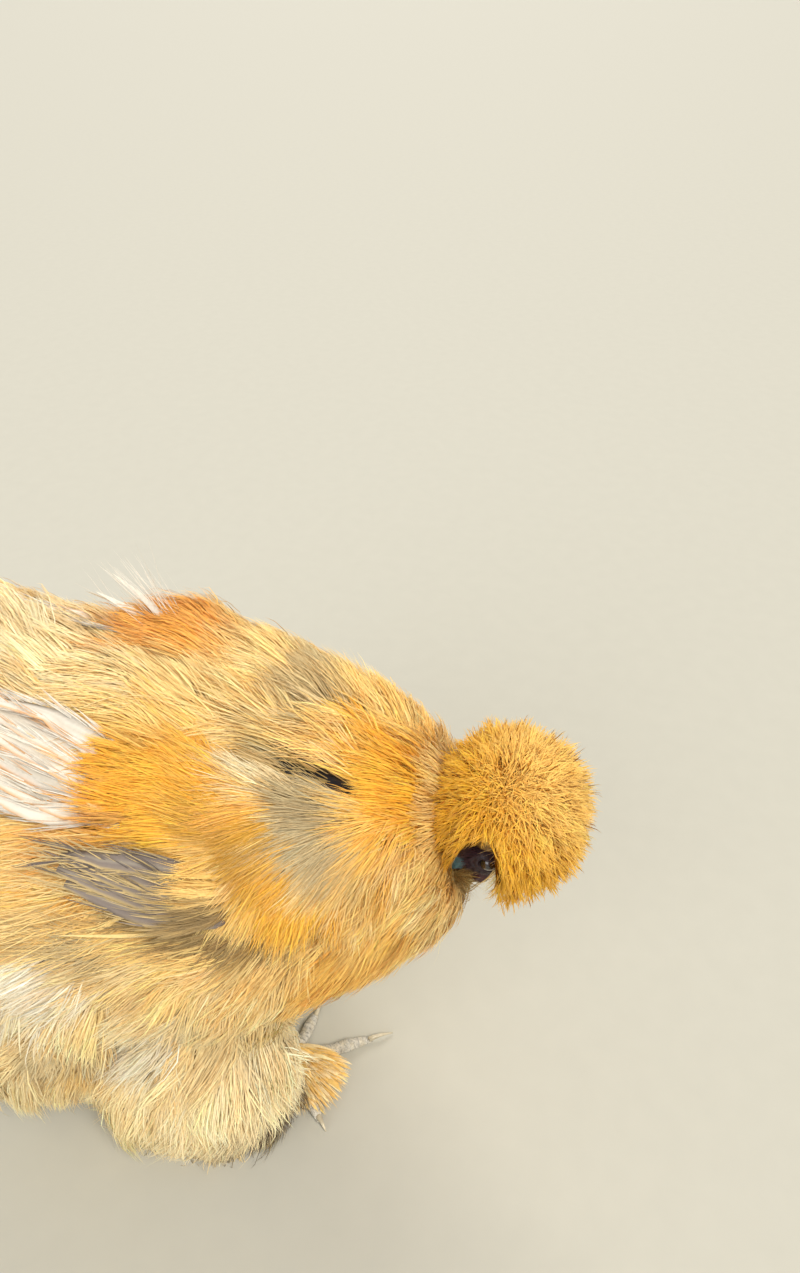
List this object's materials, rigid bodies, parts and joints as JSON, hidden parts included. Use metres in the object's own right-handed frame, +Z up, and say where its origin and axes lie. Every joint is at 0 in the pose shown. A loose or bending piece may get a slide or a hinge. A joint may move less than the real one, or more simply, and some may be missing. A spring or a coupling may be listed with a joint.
{
  "type": "silkie chicken",
  "caption": "Buff silkie hen as a life-size museum model, crouching low with the head lowered, round crest, silky plumage and feathered feet.",
  "frame": {"origin": "middle of the underside of the bird's box, on the floor", "axes": "+Z up, -Y the way the bird faces, +X towards the bird's left side"},
  "size_m": [0.2286, 0.384, 0.2682],
  "materials": {
    "plumage_body": "soft silky plumage over the body, matt",
    "plumage_loose": "long loose silky feathers, matt with a soft sheen",
    "skin": "dark mulberry skin, slightly waxy",
    "earlobe": "turquoise to slate-blue skin, slightly waxy",
    "scales": "grey dusty leg scales, dry",
    "horn": "horn claws, satin",
    "bill": "slate-blue horn bill, satin",
    "eye": "wet, dark, glossy"
  },
  "bodies": {
    "root": {"neck": "plumage_body", "trunk": "plumage_body", "cushion": "plumage_loose", "tail": "plumage_loose", "wing_right": "plumage_loose", "wing_left": "plumage_loose", "secondaries_right": "plumage_loose", "secondaries_left": "plumage_loose", "primaries_right": "plumage_loose", "primaries_left": "plumage_loose", "crest": "plumage_loose", "leg_right": "plumage_loose", "leg_left": "plumage_loose", "foot_plume_right": "plumage_loose", "foot_plume_left": "plumage_loose", "head": "skin", "comb": "skin", "wattle_right": "skin", "wattle_left": "skin", "earlobe_right": "earlobe", "earlobe_left": "earlobe", "eye_right": "eye", "eye_left": "eye", "bill_upper": "bill", "bill_lower": "bill", "shank_right": "scales", "shank_left": "scales", "toe_right_1": "scales", "toe_right_2": "scales", "toe_right_3": "scales", "toe_right_4": "scales", "toe_right_5": "scales", "toe_left_1": "scales", "toe_left_2": "scales", "toe_left_3": "scales", "toe_left_4": "scales", "toe_left_5": "scales", "claw_right_1": "horn", "claw_right_2": "horn", "claw_right_3": "horn", "claw_right_4": "horn", "claw_right_5": "horn", "claw_left_1": "horn", "claw_left_2": "horn", "claw_left_3": "horn", "claw_left_4": "horn", "claw_left_5": "horn"}
  },
  "joints": []
}
